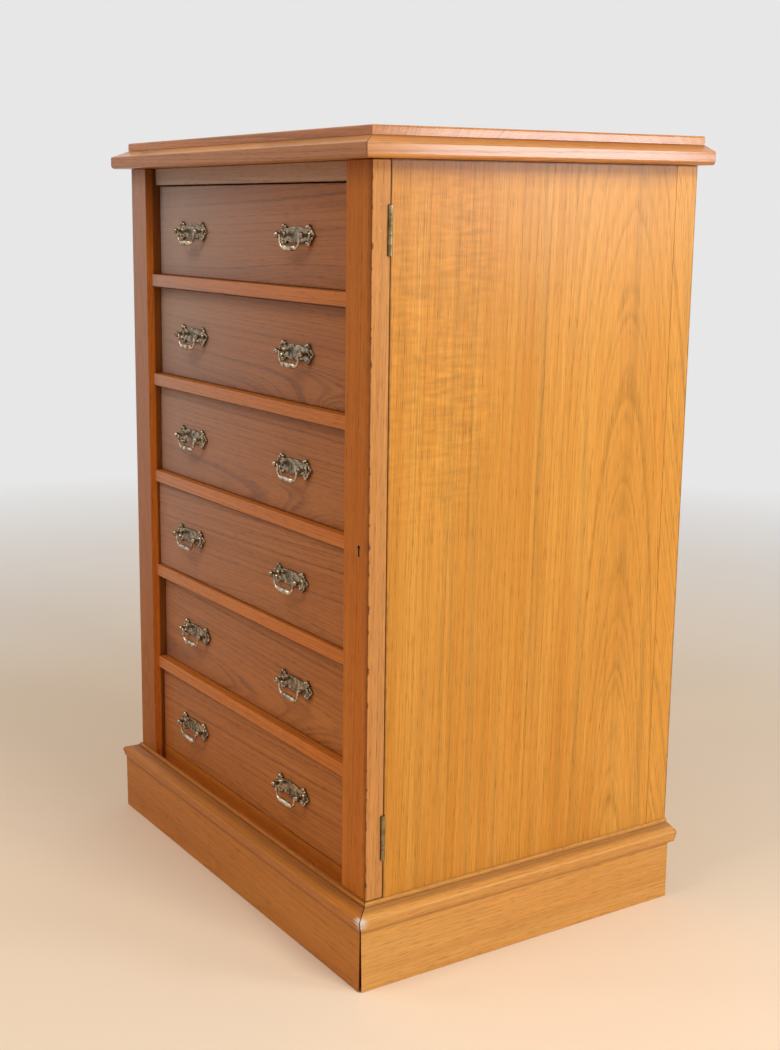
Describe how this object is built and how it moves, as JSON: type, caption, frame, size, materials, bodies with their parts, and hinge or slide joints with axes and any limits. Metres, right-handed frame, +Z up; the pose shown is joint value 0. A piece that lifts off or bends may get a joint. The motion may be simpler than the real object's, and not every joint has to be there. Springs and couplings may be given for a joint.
{
  "type": "wellington chest",
  "caption": "Tall ash chest of drawers on a moulded plinth, with a hinged locking flap down one side that closes over the drawer ends, and swinging brass bail handles.",
  "frame": {"origin": "on the floor, under the middle of the chest's box", "axes": "+Z up, the drawers face -Y, +X is the viewer's right, where the flap is"},
  "size_m": [0.7368, 0.5669, 1.1],
  "materials": {
    "case_ash": "polished honey-coloured ash",
    "front_ash": "polished reddish-brown ash",
    "lining_wood": "bare pale secondary wood",
    "handle_brass": "darkened antique brass",
    "hinge_brass": "aged brass",
    "lock_steel": "dull iron"
  },
  "bodies": {
    "case": {"top_board": "case_ash", "top_moulding": "case_ash", "side_left": "case_ash", "side_right": "case_ash", "left_pilaster": "front_ash", "right_stile": "case_ash", "back_panel": "lining_wood", "top_rail": "front_ash", "divider_1": "front_ash", "divider_2": "front_ash", "divider_3": "front_ash", "divider_4": "front_ash", "divider_5": "front_ash", "bottom_board": "front_ash", "plinth_front": "case_ash", "plinth_left": "case_ash", "plinth_right": "case_ash", "upper_hinge_fixed_leaf": "hinge_brass", "lower_hinge_fixed_leaf": "hinge_brass"},
    "flap": {"flap": "front_ash", "upper_hinge_flap_leaf": "hinge_brass", "lower_hinge_flap_leaf": "hinge_brass", "lock_case": "lock_steel"},
    "lock_bolt": {"lock_bolt": "lock_steel"},
    "drawer_1": {"drawer_1_front": "front_ash", "drawer_1_box": "lining_wood", "drawer_1_left_plate": "handle_brass", "drawer_1_right_plate": "handle_brass"},
    "drawer_1_left_bail": {"drawer_1_left_bail": "handle_brass"},
    "drawer_1_right_bail": {"drawer_1_right_bail": "handle_brass"},
    "drawer_2": {"drawer_2_front": "front_ash", "drawer_2_box": "lining_wood", "drawer_2_left_plate": "handle_brass", "drawer_2_right_plate": "handle_brass"},
    "drawer_2_left_bail": {"drawer_2_left_bail": "handle_brass"},
    "drawer_2_right_bail": {"drawer_2_right_bail": "handle_brass"},
    "drawer_3": {"drawer_3_front": "front_ash", "drawer_3_box": "lining_wood", "drawer_3_left_plate": "handle_brass", "drawer_3_right_plate": "handle_brass"},
    "drawer_3_left_bail": {"drawer_3_left_bail": "handle_brass"},
    "drawer_3_right_bail": {"drawer_3_right_bail": "handle_brass"},
    "drawer_4": {"drawer_4_front": "front_ash", "drawer_4_box": "lining_wood", "drawer_4_left_plate": "handle_brass", "drawer_4_right_plate": "handle_brass"},
    "drawer_4_left_bail": {"drawer_4_left_bail": "handle_brass"},
    "drawer_4_right_bail": {"drawer_4_right_bail": "handle_brass"},
    "drawer_5": {"drawer_5_front": "front_ash", "drawer_5_box": "lining_wood", "drawer_5_left_plate": "handle_brass", "drawer_5_right_plate": "handle_brass"},
    "drawer_5_left_bail": {"drawer_5_left_bail": "handle_brass"},
    "drawer_5_right_bail": {"drawer_5_right_bail": "handle_brass"},
    "drawer_6": {"drawer_6_front": "front_ash", "drawer_6_box": "lining_wood", "drawer_6_left_plate": "handle_brass", "drawer_6_right_plate": "handle_brass"},
    "drawer_6_left_bail": {"drawer_6_left_bail": "handle_brass"},
    "drawer_6_right_bail": {"drawer_6_right_bail": "handle_brass"}
  },
  "joints": [
    {"name": "flap_hinge", "type": "hinge", "parent": "case", "child": "flap", "pos_m": [0.344, -0.23225, 0.587], "axis": [0, 0, 1], "range_deg": [0, 170]},
    {"name": "lock_bolt_slide", "type": "slide", "parent": "flap", "child": "lock_bolt", "axis": [-1, 0, 0], "range_m": [0, 0.008]},
    {"name": "drawer_1_slide", "type": "slide", "parent": "case", "child": "drawer_1", "axis": [0, -1, 0], "range_m": [0, 0.38]},
    {"name": "drawer_2_slide", "type": "slide", "parent": "case", "child": "drawer_2", "axis": [0, -1, 0], "range_m": [0, 0.38]},
    {"name": "drawer_3_slide", "type": "slide", "parent": "case", "child": "drawer_3", "axis": [0, -1, 0], "range_m": [0, 0.38]},
    {"name": "drawer_4_slide", "type": "slide", "parent": "case", "child": "drawer_4", "axis": [0, -1, 0], "range_m": [0, 0.38]},
    {"name": "drawer_5_slide", "type": "slide", "parent": "case", "child": "drawer_5", "axis": [0, -1, 0], "range_m": [0, 0.38]},
    {"name": "drawer_6_slide", "type": "slide", "parent": "case", "child": "drawer_6", "axis": [0, -1, 0], "range_m": [0, 0.38]},
    {"name": "drawer_1_left_bail_swing", "type": "hinge", "parent": "drawer_1", "child": "drawer_1_left_bail", "pos_m": [-0.175, -0.24755, 0.96745], "axis": [-1, 0, 0], "range_deg": [-15, 100]},
    {"name": "drawer_1_right_bail_swing", "type": "hinge", "parent": "drawer_1", "child": "drawer_1_right_bail", "pos_m": [0.13, -0.24755, 0.96745], "axis": [-1, 0, 0], "range_deg": [-15, 100]},
    {"name": "drawer_2_left_bail_swing", "type": "hinge", "parent": "drawer_2", "child": "drawer_2_left_bail", "pos_m": [-0.175, -0.24855, 0.81215], "axis": [-1, 0, 0], "range_deg": [-15, 100]},
    {"name": "drawer_2_right_bail_swing", "type": "hinge", "parent": "drawer_2", "child": "drawer_2_right_bail", "pos_m": [0.13, -0.24855, 0.81215], "axis": [-1, 0, 0], "range_deg": [-15, 100]},
    {"name": "drawer_3_left_bail_swing", "type": "hinge", "parent": "drawer_3", "child": "drawer_3_left_bail", "pos_m": [-0.175, -0.25155, 0.65685], "axis": [-1, 0, 0], "range_deg": [-15, 100]},
    {"name": "drawer_3_right_bail_swing", "type": "hinge", "parent": "drawer_3", "child": "drawer_3_right_bail", "pos_m": [0.13, -0.25155, 0.65685], "axis": [-1, 0, 0], "range_deg": [-15, 100]},
    {"name": "drawer_4_left_bail_swing", "type": "hinge", "parent": "drawer_4", "child": "drawer_4_left_bail", "pos_m": [-0.175, -0.25705, 0.50155], "axis": [-1, 0, 0], "range_deg": [-15, 100]},
    {"name": "drawer_4_right_bail_swing", "type": "hinge", "parent": "drawer_4", "child": "drawer_4_right_bail", "pos_m": [0.13, -0.25705, 0.50155], "axis": [-1, 0, 0], "range_deg": [-15, 100]},
    {"name": "drawer_5_left_bail_swing", "type": "hinge", "parent": "drawer_5", "child": "drawer_5_left_bail", "pos_m": [-0.175, -0.24905, 0.34625], "axis": [-1, 0, 0], "range_deg": [-15, 100]},
    {"name": "drawer_5_right_bail_swing", "type": "hinge", "parent": "drawer_5", "child": "drawer_5_right_bail", "pos_m": [0.13, -0.24905, 0.34625], "axis": [-1, 0, 0], "range_deg": [-15, 100]},
    {"name": "drawer_6_left_bail_swing", "type": "hinge", "parent": "drawer_6", "child": "drawer_6_left_bail", "pos_m": [-0.175, -0.25455, 0.19095], "axis": [-1, 0, 0], "range_deg": [-15, 100]},
    {"name": "drawer_6_right_bail_swing", "type": "hinge", "parent": "drawer_6", "child": "drawer_6_right_bail", "pos_m": [0.13, -0.25455, 0.19095], "axis": [-1, 0, 0], "range_deg": [-15, 100]}
  ]
}
